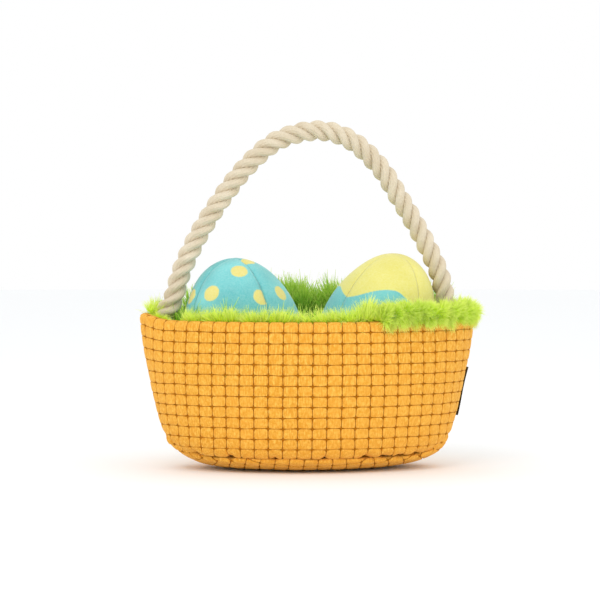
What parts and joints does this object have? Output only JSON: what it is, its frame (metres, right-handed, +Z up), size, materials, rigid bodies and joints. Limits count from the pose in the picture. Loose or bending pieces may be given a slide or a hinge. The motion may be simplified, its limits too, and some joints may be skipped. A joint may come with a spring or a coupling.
{
  "type": "plush easter basket",
  "caption": "Oval stuffed plush basket with a block-quilted wall, a grass pile nest, stuffed eggs stitched in it and a twisted rope handle.",
  "frame": {"origin": "middle of the flat base, on the surface that the basket stands on", "axes": "+X along the basket's length towards the woven tab, -Y its front, +Z up to the top of the handle"},
  "size_m": [0.1958, 0.1196, 0.208],
  "materials": {
    "block_plush": "quilted ribbed plush",
    "grass_plush": "long-pile plush",
    "dotted_plush": "short velour, printed",
    "waved_plush": "short velour, printed",
    "cotton_rope": "natural cotton yarn",
    "fibre_filling": "loose polyester fibre",
    "squeaker_plastic": "thin blow-moulded plastic",
    "reed_plastic": "hard plastic",
    "white_thread": "sewing thread",
    "orange_thread": "sewing thread",
    "tab_ribbon": "woven ribbon"
  },
  "bodies": {
    "basket": {"front_wall_panel": "block_plush", "rear_wall_panel": "block_plush", "base_panel": "block_plush", "body_filling": "fibre_filling", "grass_lining": "grass_plush", "grass_pile_front": "grass_plush", "grass_pile_rear": "grass_plush", "grass_pile_nest": "grass_plush", "left_rope_end": "cotton_rope", "right_rope_end": "cotton_rope", "rope_end_whippings": "white_thread", "rope_tack_threads": "orange_thread", "dotted_egg_front_gore": "dotted_plush", "dotted_egg_right_gore": "dotted_plush", "dotted_egg_rear_gore": "dotted_plush", "dotted_egg_left_gore": "dotted_plush", "dotted_egg_filling": "fibre_filling", "dotted_egg_squeaker": "squeaker_plastic", "dotted_egg_reed": "reed_plastic", "dotted_egg_tack_thread": "white_thread", "waved_egg_front_gore": "waved_plush", "waved_egg_right_gore": "waved_plush", "waved_egg_rear_gore": "waved_plush", "waved_egg_left_gore": "waved_plush", "waved_egg_filling": "fibre_filling", "waved_egg_squeaker": "squeaker_plastic", "waved_egg_reed": "reed_plastic", "waved_egg_tack_thread": "white_thread"},
    "handle": {"rope_bends": "cotton_rope", "rope_strand_1": "cotton_rope", "rope_strand_2": "cotton_rope", "rope_strand_3": "cotton_rope"},
    "tab": {"woven_tab": "tab_ribbon"}
  },
  "joints": [
    {"name": "handle_swing", "type": "hinge", "parent": "basket", "child": "handle", "pos_m": [0, 0, 0.09], "axis": [1, 0, 0], "range_deg": [-60, 60], "stiffness_Nm_per_rad": 0.1},
    {"name": "tab_flap", "type": "hinge", "parent": "basket", "child": "tab", "pos_m": [0.09098, 0, 0.046], "axis": [-0.1772, 0, -0.9842], "range_deg": [-20, 110], "stiffness_Nm_per_rad": 0.0002}
  ]
}
